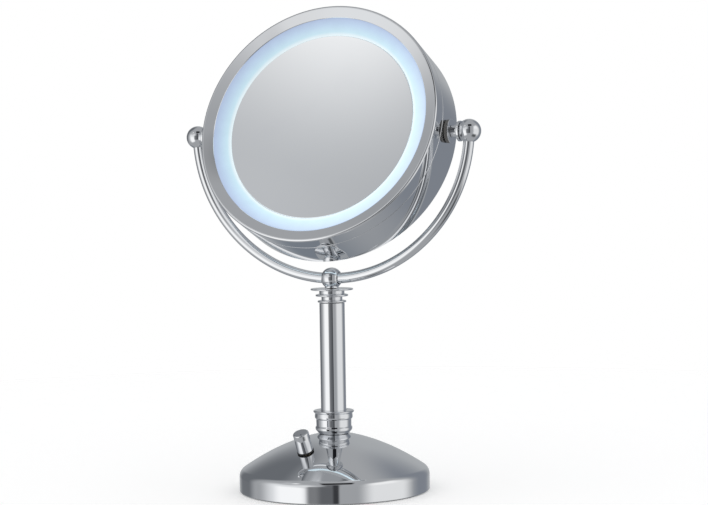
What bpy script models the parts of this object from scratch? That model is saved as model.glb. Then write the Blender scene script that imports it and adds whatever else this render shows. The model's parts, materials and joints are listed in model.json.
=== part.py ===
"""Lighted two-sided vanity mirror on a weighted pedestal.

Lengths are in metres and +Z is up. The front mirror faces -Y, and the head's pivots lie along X.
Heights are measured from the lower edge of the base rim, which the foot ring lifts off the table.
Outlines of turned pieces are (radius, height) pairs about the piece's own +Z axis.
"""

import math

import bmesh
import bpy
from mathutils import Euler, Vector

MM = 0.001
GAP = 0.3 * MM  # room left between neighbouring pieces
WELD = 0.001 * MM

LARGE, MEDIUM, SMALL = 32, 16, 12  # sides of the base and head, of the column, of pins and cells

# Base
FOOT_LIFT = 0.8 * MM
BASE_R = 83.5 * MM
DOME_TOP = 50.9 * MM
DOME_CONE = 0.11  # slope of the dome at its middle
DOME_CURVE = 3.54  # how fast the dome steepens, per metre
SHOULDER_R = 8 * MM
SHELL_WALL = 1.4 * MM
COVER_Z = 2.2 * MM
COVER_THICK = 2 * MM
SCREW_CIRCLE_R = 62.5 * MM
SCREW_R = 1.6 * MM

# Battery bay
CELL_R = 7.1 * MM
CELL_LENGTH = 50.5 * MM
CELL_PITCH = 14.9 * MM
CELL_Z = 12.3 * MM
BAY_HALF = (31.8 * MM, 29.8 * MM)
BAY_WALL = 1.6 * MM
BAY_TOP = 21.8 * MM
CONTACT_Y = 27.4 * MM
DOOR_HALF = (30.2 * MM, 28.2 * MM)
DOOR_AXIS_Y = 27.2 * MM

# Knob
KNOB_AROUND = math.radians(-8)  # how far the knob stands round from the front
KNOB_FROM_AXIS = 46 * MM
KNOB_R = 6.9 * MM
KNOB_HEIGHT = 19 * MM
KNOB_WASHER_R = 7.3 * MM

# Column
ROD_R = 4 * MM
ROD_BORE_R = 2.8 * MM
ROD_HOLE_R = ROD_R + GAP
TUBE_R = 11.1 * MM
TUBE_WALL = 1 * MM
LOWER_COLLAR_TOP = 69.4 * MM
UPPER_COLLAR_TOP = 176.4 * MM

# Yoke
PIVOT_Z = 311.1 * MM
HALF_SPAN = 129.9 * MM
YOKE_DROP = 125.9 * MM  # from the pivots down to the centre ball
YOKE_R = (HALF_SPAN**2 + YOKE_DROP**2) / (2 * YOKE_DROP)
YOKE_Z = PIVOT_Z - YOKE_DROP + YOKE_R  # centre of the yoke's arc
ARM_R = 4.7 * MM
ARM_WALL = 1 * MM
SOCKET_R = ARM_R + 0.4 * MM
CENTRE_BALL_R = 9.5 * MM
PIVOT_BALL_R = 10.2 * MM
PIN_R = 3 * MM
PIN_HOLE_R = PIN_R + GAP
BUSH_END = 15.3 * MM  # from the ball's centre to the flange on the head
WIRE_R = 1 * MM

# Head
TILT_BACK = math.radians(21.8)
HEAD_R = 110.07 * MM
HEAD_FRONT = 29.4 * MM  # from the pivot axis to the front of the bezel
HEAD_REAR = 22.6 * MM  # from the pivot axis to the back edge of the drum
BAND_WALL = 1.2 * MM
SKIRT_R = HEAD_R - BAND_WALL - GAP  # outside of the skirt by which each bezel sits in the drum
SEAM = 13.4 * MM  # from the pivot axis to the joint between drum and bezel
GLOW_R = 99.7 * MM  # where the bezel's lip meets the glowing ring
GLOW_DEPTH = 2.5 * MM
MIRROR_R = 85.8 * MM
MIRROR_DEPTH = 9.7 * MM
GLASS = 3 * MM
MAGNIFIER_SAG = 7.3 * MM
CORE_R = 86.6 * MM
CORE_WALL = 3.6 * MM
BLOCK_X = (100.5 * MM, 107.8 * MM)

FINISHES = {  # base colour, roughness, metallic, transmission
    "chrome": ((0.83, 0.84, 0.86), 0.06, 1, 0),
    "mirror": ((0.92, 0.93, 0.95), 0.01, 1, 0),
    "frosted_ring": ((0.86, 0.91, 1.0), 0.5, 0, 0.4),
    "white_plastic": ((0.88, 0.88, 0.87), 0.45, 0, 0),
    "black_plastic": ((0.03, 0.03, 0.033), 0.4, 0, 0),
    "rubber": ((0.02, 0.02, 0.02), 0.8, 0, 0),
    "cast_iron": ((0.12, 0.12, 0.125), 0.7, 1, 0),
    "steel": ((0.62, 0.63, 0.65), 0.3, 1, 0),
    "brass": ((0.78, 0.6, 0.3), 0.28, 1, 0),
    "cell_sleeve": ((0.05, 0.16, 0.12), 0.3, 0, 0),
    "circuit_board": ((0.9, 0.91, 0.9), 0.4, 0, 0),
    "wire": ((0.5, 0.05, 0.04), 0.5, 0, 0),
}


def clear_scene():
    for obj in list(bpy.data.objects):
        bpy.data.objects.remove(obj, do_unlink=True)


def finish(name):
    """The material of this name, made on first use."""
    found = bpy.data.materials.get(name)
    if found:
        return found
    colour, roughness, metallic, transmission = FINISHES[name]
    made = bpy.data.materials.new(name)
    made.use_nodes = True
    shader = made.node_tree.nodes["Principled BSDF"]
    shader.inputs["Base Color"].default_value = (*colour, 1)
    shader.inputs["Roughness"].default_value = roughness
    shader.inputs["Metallic"].default_value = metallic
    shader.inputs["Transmission Weight"].default_value = transmission
    return made


def frame_at(name, place=(0, 0, 0), turn=(0, 0, 0), parent=None):
    """An empty that other pieces are placed under."""
    empty = bpy.data.objects.new(name, None)
    bpy.context.scene.collection.objects.link(empty)
    empty.location = place
    empty.rotation_euler = turn
    empty.parent = parent
    return empty


def placed(name, data, material, parent, place=(0, 0, 0), turn=(0, 0, 0)):
    """An object under its parent, in its material. Mesh and curve data can be shared."""
    obj = bpy.data.objects.new(name, data)
    bpy.context.scene.collection.objects.link(obj)
    if not data.materials:
        data.materials.append(finish(material))
    obj.location = place
    obj.rotation_euler = turn
    obj.parent = parent
    return obj


def mesh_from(bm, name):
    """Closes a bmesh off as smooth-shaded mesh data with sharp edges."""
    bmesh.ops.remove_doubles(bm, verts=bm.verts, dist=WELD)
    bmesh.ops.recalc_face_normals(bm, faces=bm.faces)
    mesh = bpy.data.meshes.new(name)
    bm.to_mesh(mesh)
    bm.free()
    mesh.shade_smooth()
    mesh.set_sharp_from_angle(angle=math.radians(35))
    return mesh


def spin_round(bm, geometry, steps):
    """A full turn about +Z, with its last step joined to the first."""
    turn = {"cent": (0, 0, 0), "axis": (0, 0, 1), "angle": math.tau, "steps": steps}
    bmesh.ops.spin(bm, geom=geometry, use_merge=True, **turn)


def turned(name, outline, sides=MEDIUM):
    """Mesh data of an outline spun about +Z. An outline that starts and ends on the axis is solid."""
    bm = bmesh.new()
    points = [bm.verts.new((radius, 0, height)) for radius, height in outline]
    pairs = list(zip(points, points[1:]))
    if outline[0][0] > 0:
        pairs.append((points[-1], points[0]))
    edges = [bm.edges.new(pair) for pair in pairs]
    spin_round(bm, points + edges, sides)
    return mesh_from(bm, name)


def ring(inner, outer, low, high):
    """Outline of a plain ring or tube."""
    return [(outer, high), (outer, low), (inner, low), (inner, high)]


def rod(radius, low, high):
    """Outline of a plain solid cylinder."""
    return [(0, high), (radius, high), (radius, low), (0, low)]


def block(name, low, high, bevel=0.0):
    """Mesh data of a box between two corners, with its edges bevelled."""
    bm = bmesh.new()
    bmesh.ops.create_cube(bm, size=1)
    for vert in bm.verts:
        vert.co = [a if side < 0 else b for a, b, side in zip(low, high, vert.co)]
    if bevel:
        bmesh.ops.bevel(bm, geom=bm.edges[:], offset=bevel, segments=1, affect="EDGES")
    return mesh_from(bm, name)


def hexagon(name, radius, low, high):
    """Mesh data of a six-sided prism."""
    return turned(name, rod(radius, low, high), sides=6)


def cut(target, name, data, parent, place=(0, 0, 0), turn=(0, 0, 0)):
    """Cuts a shape out of the target with an exact Boolean."""
    cutter = placed(name, data, "steel", parent, place, turn)
    cutter.hide_render = True
    cutter.display_type = "WIRE"
    modifier = target.modifiers.new(name, "BOOLEAN")
    modifier.operation = "DIFFERENCE"
    modifier.solver = "EXACT"
    modifier.object = cutter


def wire(name, points, parent):
    """A smooth insulated wire through the given points."""
    curve = bpy.data.curves.new(name, "CURVE")
    curve.dimensions = "3D"
    curve.bevel_depth = WIRE_R
    curve.bevel_resolution = 0
    curve.use_fill_caps = True
    spline = curve.splines.new("POLY")
    spline.points.add(len(points) - 1)
    for point, place in zip(spline.points, points):
        point.co = (*place, 1)
    return placed(name, curve, "wire", parent)


def dome(radius):
    """Height of the dome's outer face at a distance from the column's axis."""
    return DOME_TOP - DOME_CONE * radius - DOME_CURVE * radius**2


def dome_slope(radius):
    """Downward slope of the dome at that distance, as an angle."""
    return math.atan(DOME_CONE + 2 * DOME_CURVE * radius)


def arc(centre, radius, start, end, steps):
    """Points along an arc in an outline's plane, by angles from the outward direction."""
    angles = [start + (end - start) * step / steps for step in range(steps + 1)]
    return [(centre[0] + radius * math.cos(a), centre[1] + radius * math.sin(a)) for a in angles]


def yoke_point(angle):
    """Point of the yoke's centre line, by its angle up from the centre ball, on the +X side."""
    return Vector((YOKE_R * math.sin(angle), 0, YOKE_Z - YOKE_R * math.cos(angle)))


# Base ------------------------------------------------------------------------------------------


def shoulder():
    """The rounding between dome and rim, and the radius where it starts."""
    centre_r = BASE_R - SHOULDER_R
    slope = dome_slope(centre_r + SHOULDER_R * 0.5)
    start_r = centre_r + SHOULDER_R * math.sin(slope)
    centre_z = dome(start_r) - SHOULDER_R * math.cos(slope)
    return arc((centre_r, centre_z), SHOULDER_R, math.pi / 2 - slope, 0, 3), start_r


def base_shell(stand, knob):
    rounding, start_r = shoulder()
    steps = 5
    bore = ROD_HOLE_R
    outer = [bore + (start_r - bore) * step / steps for step in range(steps)]
    inner_r = BASE_R - SHELL_WALL
    inner_end = rounding[1][0] - SHELL_WALL
    inner = [inner_end - (inner_end - bore) * step / (steps - 1) for step in range(steps)]
    outline = [(r, dome(r)) for r in outer]
    outline += rounding
    outline += [(BASE_R, 0.6 * MM), (BASE_R - 0.6 * MM, 0), (inner_r, 0)]
    outline += [(inner_r, rounding[-1][1])]
    outline += [(r, dome(r) - 1.15 * SHELL_WALL) for r in inner]
    shell = placed("base_shell", turned("base_shell", outline, LARGE), "chrome", stand)
    hole = turned("switch_hole", rod(4.4 * MM, -6 * MM, 6 * MM), SMALL)
    cut(shell, "switch_hole", hole, knob)


def screw_spots():
    """Where the four cover screws stand."""
    for quarter in range(4):
        around = math.radians(45 + 90 * quarter)
        yield SCREW_CIRCLE_R * math.cos(around), SCREW_CIRCLE_R * math.sin(around)


def base_weight(stand):
    bottom = COVER_Z + COVER_THICK + GAP
    inner, outer = 57 * MM, 80 * MM
    outline = [
        (inner, 27 * MM),
        (inner + 3 * MM, 27 * MM),
        (74 * MM, 18 * MM),
        (outer, 11 * MM),
        (outer, bottom),
        (inner, bottom),
    ]
    weight = placed("base_weight", turned("base_weight", outline, LARGE), "cast_iron", stand)
    for number, (x, y) in enumerate(screw_spots(), 1):
        hole = turned("weight_hole", rod(SCREW_R + GAP, 0, 16 * MM), SMALL)
        cut(weight, f"weight_hole_{number}", hole, stand, place=(x, y, 0))


def base_cover(stand):
    disc = rod(BASE_R - SHELL_WALL - 0.4 * MM, COVER_Z, COVER_Z + COVER_THICK)
    cover = placed("base_cover", turned("base_cover", disc, LARGE), "black_plastic", stand)
    half_x = DOOR_HALF[0] + 0.4 * MM
    half_y = DOOR_HALF[1] + 0.8 * MM
    opening = block("door_opening", (-half_x, -half_y, 0), (half_x, half_y, 3 * COVER_THICK))
    cut(cover, "door_opening", opening, stand)
    for number, (x, y) in enumerate(screw_spots(), 1):
        hole = turned("cover_hole", rod(SCREW_R + 0.5 * MM, 0, 3 * COVER_THICK), SMALL)
        cut(cover, f"cover_hole_{number}", hole, stand, place=(x, y, 0))


def cover_screws(stand):
    head_low, head_high = 0.3 * MM, COVER_Z - GAP
    outline = [
        (0, 14 * MM),
        (SCREW_R, 14 * MM),
        (SCREW_R, head_high),
        (3.3 * MM, head_high),
        (3 * MM, head_low),
        (0, head_low),
    ]
    data = turned("cover_screw", outline, SMALL)
    for number, (x, y) in enumerate(screw_spots(), 1):
        placed(f"cover_screw_{number}", data, "steel", stand, place=(x, y, 0))


def foot_ring(stand):
    outline = ring(68 * MM, 79 * MM, -FOOT_LIFT, COVER_Z - GAP)
    placed("foot_ring", turned("foot_ring", outline, LARGE), "rubber", stand)


# Battery bay -----------------------------------------------------------------------------------


def battery_holder(stand):
    bottom = COVER_Z + COVER_THICK + GAP
    half_x, half_y = BAY_HALF
    outer = block("battery_holder", (-half_x, -half_y, bottom), (half_x, half_y, BAY_TOP))
    holder = placed("battery_holder", outer, "black_plastic", stand)
    half_x, half_y = half_x - BAY_WALL, half_y - BAY_WALL
    room = block("cell_room", (-half_x, -half_y, 0), (half_x, half_y, BAY_TOP - BAY_WALL))
    cut(holder, "cell_room", room, stand)


def cell_outline():
    """A cylindrical cell from its flat end at zero to the tip of its contact nub."""
    nub, edge = 1 * MM, 0.6 * MM
    body = CELL_LENGTH - nub
    return [
        (0, CELL_LENGTH),
        (2.7 * MM, CELL_LENGTH),
        (2.7 * MM, body),
        (CELL_R - edge, body),
        (CELL_R, body - edge),
        (CELL_R, edge),
        (CELL_R - edge, 0),
        (0, 0),
    ]


def spring_curve(length):
    """A cone-shaped contact spring that starts at zero and narrows along +Z."""
    curve = bpy.data.curves.new("contact_spring", "CURVE")
    curve.dimensions = "3D"
    curve.bevel_depth = 0.3 * MM
    curve.bevel_resolution = 0
    curve.use_fill_caps = True
    turns, per_turn = 2, 8
    steps = turns * per_turn
    spline = curve.splines.new("POLY")
    spline.points.add(steps)
    for step, point in enumerate(spline.points):
        angle = math.tau * step / per_turn
        radius = (4.6 - 2 * step / steps) * MM
        height = 0.4 * MM + (length - 0.8 * MM) * step / steps
        point.co = (radius * math.cos(angle), radius * math.sin(angle), height, 1)
    return curve


def cells_and_contacts(stand):
    """Four cells side by side, each turned end for end to its neighbour, with a spring at the flat end."""
    cell = turned("battery_cell", cell_outline(), SMALL)
    spring_room = 2 * CONTACT_Y - CELL_LENGTH - 2 * GAP
    spring = spring_curve(spring_room)
    for number in range(4):
        x = (number - 1.5) * CELL_PITCH
        way = 1 if number % 2 else -1  # the end that the nub points to
        turn = (-way * math.pi / 2, 0, 0)
        flat_end = -way * (CONTACT_Y - GAP - spring_room)
        placed(f"battery_cell_{number + 1}", cell, "cell_sleeve", stand, (x, flat_end, CELL_Z), turn)
        foot = -way * (CONTACT_Y - GAP)
        placed(f"contact_spring_{number + 1}", spring, "steel", stand, (x, foot, CELL_Z), turn)
    plate = block("contact_strip", (-27 * MM, 0, 7 * MM), (27 * MM, 0.5 * MM, 18 * MM))
    placed("contact_strip_rear", plate, "steel", stand, place=(0, CONTACT_Y, 0))
    placed("contact_strip_front", plate, "steel", stand, place=(0, -CONTACT_Y - 0.5 * MM, 0))


def battery_door(stand):
    """The door hangs on its rear edge, which is also where its hinge frame stands."""
    hinge = frame_at("door_hinge", (0, DOOR_AXIS_Y, COVER_Z + COVER_THICK / 2), parent=stand)
    half_x, half_y = DOOR_HALF
    half_z = COVER_THICK / 2
    low = (-half_x, -half_y - DOOR_AXIS_Y, -half_z)
    high = (half_x, half_y - DOOR_AXIS_Y, half_z)
    door = placed("battery_door", block("battery_door", low, high, bevel=0.3 * MM), "black_plastic", hinge)
    notch = block("finger_notch", (-8 * MM, low[1] - MM, -2 * half_z), (8 * MM, low[1] + 3 * MM, 0))
    cut(door, "finger_notch", notch, hinge)


# Knob and switch ---------------------------------------------------------------------------------


def knob_foot():
    """Point of the dome's face under the knob's axis."""
    x = KNOB_FROM_AXIS * math.sin(KNOB_AROUND)
    y = -KNOB_FROM_AXIS * math.cos(KNOB_AROUND)
    return Vector((x, y, dome(KNOB_FROM_AXIS)))


def knob_frame(stand):
    """Frame on the dome's face, square to it, with +Z along the knob's axis."""
    turn = (dome_slope(KNOB_FROM_AXIS), 0, KNOB_AROUND)
    return frame_at("knob_axis", knob_foot(), turn, stand)


def switch(knob):
    """Rotary dimmer switch under the dome, its nut on top, and the black washer round the nut."""
    shaft_hole, bush_r, bush_top = 2.9 * MM, 4 * MM, 2.8 * MM
    body_r, body_top, body_low = 8 * MM, -2.6 * MM, -10.9 * MM
    outline = [
        (0, -7 * MM),
        (shaft_hole, -7 * MM),
        (shaft_hole, bush_top),
        (bush_r, bush_top),
        (bush_r, body_top),
        (body_r, body_top),
        (body_r, body_low),
        (0, body_low),
    ]
    placed("switch_body", turned("switch_body", outline, SMALL), "black_plastic", knob)
    low = 0.35 * MM
    nut = placed("switch_nut", hexagon("switch_nut", 5.5 * MM, low, 2.15 * MM), "brass", knob)
    cut(nut, "switch_nut_thread", turned("nut_thread", rod(bush_r + GAP, -MM, 4 * MM), SMALL), knob)
    washer = ring(5.9 * MM, KNOB_WASHER_R, low, low + 1 * MM)
    placed("knob_washer", turned("knob_washer", washer), "rubber", knob)


def knob_cap(knob):
    """Cap over the nut, with an index notch in its top edge, on the switch's shaft."""
    bottom, edge = 1.65 * MM, 1.2 * MM
    bore_r, bore_end = 2.9 * MM, 15.4 * MM
    room_r, room_top = 5.8 * MM, 3.4 * MM
    outline = [(0, KNOB_HEIGHT)]
    outline += arc((KNOB_R - edge, KNOB_HEIGHT - edge), edge, math.pi / 2, 0, 3)
    outline += [
        (KNOB_R, bottom),
        (room_r, bottom),
        (room_r, room_top),
        (bore_r, room_top),
        (bore_r, bore_end),
        (0, bore_end),
    ]
    cap = placed("knob_cap", turned("knob_cap", outline), "chrome", knob)
    half = 0.45 * MM
    low = (-half, -KNOB_R - MM, KNOB_HEIGHT - 0.6 * MM)
    notch = block("index_notch", low, (half, -2.6 * MM, KNOB_HEIGHT + MM))
    cut(cap, "index_notch", notch, knob, turn=(0, 0, math.radians(35)))
    shaft = rod(2.6 * MM, -6.6 * MM, 15 * MM)
    placed("switch_shaft", turned("switch_shaft", shaft, SMALL), "steel", knob)


# Column ------------------------------------------------------------------------------------------


def tie_rod(stand):
    """Hollow threaded rod that clamps dome and column, with its washer and nut under the dome."""
    low, high = 36.5 * MM, 179.5 * MM
    placed("tie_rod", turned("tie_rod", ring(ROD_BORE_R, ROD_R, low, high), SMALL), "brass", stand)
    washer_r = 12 * MM
    washer_top = dome(washer_r) - 1.15 * SHELL_WALL - 2 * GAP
    washer = ring(ROD_HOLE_R, washer_r, washer_top - 1.5 * MM, washer_top)
    placed("tie_rod_washer", turned("tie_rod_washer", washer, SMALL), "steel", stand)
    nut_top = washer_top - 1.5 * MM - GAP
    nut = placed("tie_rod_nut", hexagon("tie_rod_nut", 7.5 * MM, nut_top - 5.5 * MM, nut_top), "brass", stand)
    thread = turned("tie_rod_thread", rod(ROD_HOLE_R, nut_top - 9 * MM, nut_top + MM), SMALL)
    cut(nut, "tie_rod_thread", thread, stand)


def lower_collar(stand):
    """Stepped collar with a flange on top and a bulged foot on the dome."""
    top, seat = LOWER_COLLAR_TOP, 58 * MM
    foot_r = 13.2 * MM
    outline = [
        (TUBE_R + GAP, top),
        (17.3 * MM, top),
        (18 * MM, top - 0.7 * MM),
        (17.6 * MM, top - 1.7 * MM),
        (16.4 * MM, top - 2.5 * MM),
        (16.7 * MM, top - 5.6 * MM),
        (16.4 * MM, top - 6.9 * MM),
        (15.5 * MM, top - 7.7 * MM),
        (15.4 * MM, top - 13.6 * MM),
        (16.3 * MM, top - 15.2 * MM),
        (16 * MM, top - 17 * MM),
        (foot_r, dome(foot_r) + GAP),
        (ROD_HOLE_R, dome(ROD_HOLE_R) + GAP),
        (ROD_HOLE_R, seat),
        (TUBE_R + GAP, seat),
    ]
    placed("lower_collar", turned("lower_collar", outline), "chrome", stand)


def column_tube(stand):
    outline = ring(TUBE_R - TUBE_WALL, TUBE_R, 58.3 * MM, 163.7 * MM)
    placed("column_tube", turned("column_tube", outline), "chrome", stand)


def upper_collar(stand):
    """Three thin discs on necks, with a spigot that fills the top of the tube."""
    top = UPPER_COLLAR_TOP
    spigot_r = TUBE_R - TUBE_WALL - GAP
    outline = [(ROD_HOLE_R, top)]
    edge = 0.7 * MM
    discs = ((18.7, 0.7, 11.1), (14.3, 6.1, 9.2), (12.6, 11.4, 0))  # disc radius, depth, neck radius below
    for disc_r, depth, neck_r in discs:
        edge_r, middle = disc_r * MM, top - depth * MM
        outline += [
            (edge_r - edge, middle + edge),
            (edge_r, middle),
            (edge_r - edge, middle - edge),
            (neck_r * MM, middle - 1.1 * MM),
            (neck_r * MM, middle - 3.9 * MM),
        ]
    tube_top, spigot_low = 164 * MM, 158 * MM
    outline = outline[:-2]
    outline += [(spigot_r, tube_top), (spigot_r, spigot_low), (ROD_HOLE_R, spigot_low)]
    placed("upper_collar", turned("upper_collar", outline), "chrome", stand)


# Yoke --------------------------------------------------------------------------------------------


def ball_outline(radius, high, low):
    """Outline of a ball about the origin, between two heights."""
    return arc((0, 0), radius, math.asin(high / radius), math.asin(low / radius), 7)


def centre_ball(stand):
    """Ball where the arms meet, on its neck, bored for the rod and for both arms."""
    centre_z = PIVOT_Z - YOKE_DROP
    neck_r = 6.1 * MM
    neck_low = UPPER_COLLAR_TOP + GAP - centre_z
    neck_high = -math.sqrt(CENTRE_BALL_R**2 - neck_r**2)
    outline = [(0, CENTRE_BALL_R)]
    outline += ball_outline(CENTRE_BALL_R, CENTRE_BALL_R, neck_high)[1:]
    outline += [(neck_r, neck_low), (0, neck_low)]
    ball = placed("centre_ball", turned("centre_ball", outline), "chrome", stand, (0, 0, centre_z))
    flat = 7.2 * MM
    reach = 10 * MM
    for side, turn in (("right", 0), ("left", math.pi)):
        face = block("ball_face", (flat, -reach, -reach), (flat + reach, reach, reach))
        cut(ball, f"ball_face_{side}", face, stand, (0, 0, centre_z), (0, 0, turn))
    socket = turned("arm_socket", rod(SOCKET_R, -12 * MM, 12 * MM), SMALL)
    cut(ball, "arm_socket", socket, stand, (0, 0, centre_z + 0.12 * MM), (0, math.pi / 2, 0))
    bore = turned("rod_bore", rod(ROD_HOLE_R, -12 * MM, 0), SMALL)
    cut(ball, "rod_bore", bore, stand, (0, 0, centre_z))


ARM_START = math.asin(3 * MM / YOKE_R)
BALL_ANGLE = math.acos((YOKE_Z - PIVOT_Z) / YOKE_R)
ARM_END = BALL_ANGLE - 4.5 * MM / YOKE_R
ARM_SIDES, ARM_STEPS = 8, 12


def arm_mesh():
    """Quarter of a ring swept from a circle, to be given its wall by a Solidify modifier."""
    bm = bmesh.new()
    made = bmesh.ops.create_circle(bm, segments=ARM_SIDES, radius=ARM_R)
    centre = Vector((0, 0, YOKE_Z))
    start = yoke_point(ARM_START)
    outward = (start - centre).normalized()
    for vert in made["verts"]:
        vert.co = start + Vector((0, vert.co.x, 0)) + outward * vert.co.y
    sweep = ARM_END - ARM_START
    geometry = bm.verts[:] + bm.edges[:]
    bmesh.ops.spin(bm, geom=geometry, cent=centre, axis=(0, -1, 0), angle=sweep, steps=ARM_STEPS)
    return mesh_from(bm, "yoke_arm")


def yoke_arm(side, frame, mesh):
    arm = placed(f"yoke_arm_{side}", mesh, "chrome", frame)
    wall = arm.modifiers.new("wall", "SOLIDIFY")
    wall.thickness = ARM_WALL
    wall.offset = -1


def pivot_ball(side, frame, mesh):
    """Ball at the end of the arm, flat on its inner side, bored for the pin and socketed for the arm."""
    facing_in = (0, -math.pi / 2, 0)
    spot = (HALF_SPAN, 0, PIVOT_Z)
    ball = placed(f"pivot_ball_{side}", mesh, "chrome", frame, spot, facing_in)
    bore = turned("pin_bore", rod(PIN_HOLE_R, -MM, 12 * MM), SMALL)
    cut(ball, f"pin_bore_{side}", bore, frame, spot, facing_in)
    mouth = BALL_ANGLE - 8 * MM / YOKE_R
    socket = turned("ball_socket", rod(SOCKET_R, -8 * MM, 6 * MM), SMALL)
    cut(ball, f"ball_socket_{side}", socket, frame, yoke_point(mouth), (0, math.pi / 2 - mouth, 0))


def pivot_bush_outline():
    """Turned bush between ball and head: a wide collar, then a narrow neck."""
    neck_r, collar_r, collar_end, rounding = 5.4 * MM, 8.8 * MM, 9.6 * MM, 0.6 * MM
    return [
        (PIN_HOLE_R, BUSH_END),
        (neck_r, BUSH_END),
        (neck_r, collar_end),
        (collar_r - rounding, collar_end),
        (collar_r, collar_end - rounding),
        (collar_r, 7.2 * MM),
        (PIN_HOLE_R, 7.2 * MM),
    ]


def pivot_pin_outline():
    """Hollow pin with a collar on its inner end that keeps the head on."""
    inner_end = HALF_SPAN - BLOCK_X[0] + 1.8 * MM
    bore = 1.6 * MM
    return [
        (bore, inner_end),
        (4.4 * MM, inner_end),
        (4.4 * MM, inner_end - 1.5 * MM),
        (PIN_R, inner_end - 1.5 * MM),
        (PIN_R, 3 * MM),
        (bore, 3 * MM),
    ]


def yoke(stand):
    flat = 6.9 * MM
    round_part = ball_outline(PIVOT_BALL_R, flat, -PIVOT_BALL_R)[:-1]
    ball = turned("pivot_ball", [(0, flat)] + round_part + [(0, -PIVOT_BALL_R)])
    arm = arm_mesh()
    bush = turned("pivot_bush", pivot_bush_outline())
    pin = turned("pivot_pin", pivot_pin_outline(), SMALL)
    facing_in = (0, -math.pi / 2, 0)
    for side, turn in (("right", 0), ("left", math.pi)):
        frame = frame_at(f"yoke_{side}", turn=(0, 0, turn), parent=stand)
        yoke_arm(side, frame, arm)
        pivot_ball(side, frame, ball)
        spot = (HALF_SPAN, 0, PIVOT_Z)
        placed(f"pivot_bush_{side}", bush, "chrome", frame, spot, facing_in)
        placed(f"pivot_pin_{side}", pin, "steel", frame, spot, facing_in)


def wiring(stand):
    """The lead from the switch up the rod and the right arm, and the battery's lead to the switch."""
    turn = Euler((dome_slope(KNOB_FROM_AXIS), 0, KNOB_AROUND))
    terminal = knob_foot() - turn.to_matrix() @ Vector((0, 0, 12.2 * MM))
    side = Vector((3.5 * MM, 0, 0))
    path = [
        terminal + side,
        Vector((-1 * MM, -22 * MM, 27 * MM)),
        Vector((0, -7 * MM, 29 * MM)),
        Vector((0, 0, 34 * MM)),
        Vector((0, 0, 60 * MM)),
        Vector((0, 0, 179 * MM)),
        Vector((1.5 * MM, 0, 183.5 * MM)),
    ]
    steps = 12
    first = math.asin(6 * MM / YOKE_R)
    path += [yoke_point(first + (ARM_END - first) * step / steps) for step in range(steps + 1)]
    path += [
        Vector((HALF_SPAN - 0.8 * MM, 0, PIVOT_Z - 1.2 * MM)),
        Vector((HALF_SPAN - 2.2 * MM, 0, PIVOT_Z)),
        Vector((BLOCK_X[0] + 0.6 * MM, 0, PIVOT_Z)),
    ]
    wire("lead_wire", path, stand)
    battery_path = [
        terminal - side,
        Vector((-8 * MM, -37 * MM, 24 * MM)),
        Vector((-12 * MM, -33.5 * MM, 19 * MM)),
        Vector((-12 * MM, -31.4 * MM, 14 * MM)),
    ]
    wire("battery_lead", battery_path, stand)


# Head --------------------------------------------------------------------------------------------


def drum_shell(head):
    """Side band with two inner ledges for the diffusers, and a hole for each pivot."""
    inner, ledge = HEAD_R - BAND_WALL, 105.2 * MM
    edge = SEAM - GAP
    outline = [
        (HEAD_R, edge),
        (HEAD_R, -HEAD_REAR),
        (inner, -HEAD_REAR),
        (inner, -9.2 * MM),
        (ledge, -9.2 * MM),
        (ledge, -8 * MM),
        (inner, -8 * MM),
        (inner, 8 * MM),
        (ledge, 8 * MM),
        (ledge, 9.2 * MM),
        (inner, 9.2 * MM),
        (inner, edge),
    ]
    drum = placed("drum_shell", turned("drum_shell", outline, LARGE), "chrome", head)
    hole = turned("pivot_hole", rod(4.9 * MM, -HEAD_R - 9 * MM, HEAD_R + 9 * MM), SMALL)
    cut(drum, "pivot_holes", hole, head, turn=(0, math.pi / 2, 0))


def front_band():
    """Outer band of the front bezel, from its seam on the drum, round its edge, to its face."""
    edge = 1.8 * MM
    rounding = arc((HEAD_R - edge, HEAD_FRONT - edge), edge, 0, math.radians(107), 4)
    return [(SKIRT_R, SEAM), (HEAD_R, SEAM), *rounding]


def bezel_outline(outside, half):
    """Rim of one face, inward from its outside: a face that slopes to the lip, and a skirt in the drum."""
    skirt_in, skirt_low = 107.6 * MM, 9.5 * MM
    lip = half - GLOW_DEPTH
    return outside + [
        (GLOW_R, lip),
        (GLOW_R - 0.3 * MM, lip - 0.5 * MM),
        (GLOW_R, lip - 1.2 * MM),
        (skirt_in, lip - 0.2 * MM),
        (skirt_in, skirt_low),
        (SKIRT_R, skirt_low),
    ]


def diffuser_outline(half):
    """Moulded frosted ring: skirt on the drum's ledge, flange under the lip, cone down to the mirror."""
    flange = half - GLOW_DEPTH - 1.6 * MM
    mirror = half - MIRROR_DEPTH
    wall = 1.6 * MM
    return [
        (106.9 * MM, flange),
        (106.9 * MM, 9.5 * MM),
        (105.4 * MM, 9.5 * MM),
        (105.4 * MM, flange - wall),
        (GLOW_R - MM, flange - wall),
        (MIRROR_R + 1.2 * MM, mirror - wall),
        (MIRROR_R, mirror - wall),
        (MIRROR_R, mirror + 0.2 * MM),
        (GLOW_R - 1.2 * MM, flange),
    ]


def glass_outline(half, sag):
    """Mirror glass facing +Z, dished by sag at its middle inside a flat rim."""
    front, rim_r = half - MIRROR_DEPTH, MIRROR_R - 0.5 * MM
    bowl_r = CORE_R - CORE_WALL - 1 * MM
    steps = 3 if sag else 0
    face = [(bowl_r * step / steps, front - sag * (1 - (step / steps) ** 2)) for step in range(steps)]
    if sag:
        face.append((bowl_r, front))
    else:
        face.append((0, front))
    face.append((rim_r, front))
    return face + [(r, z - GLASS) for r, z in reversed(face)]


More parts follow.
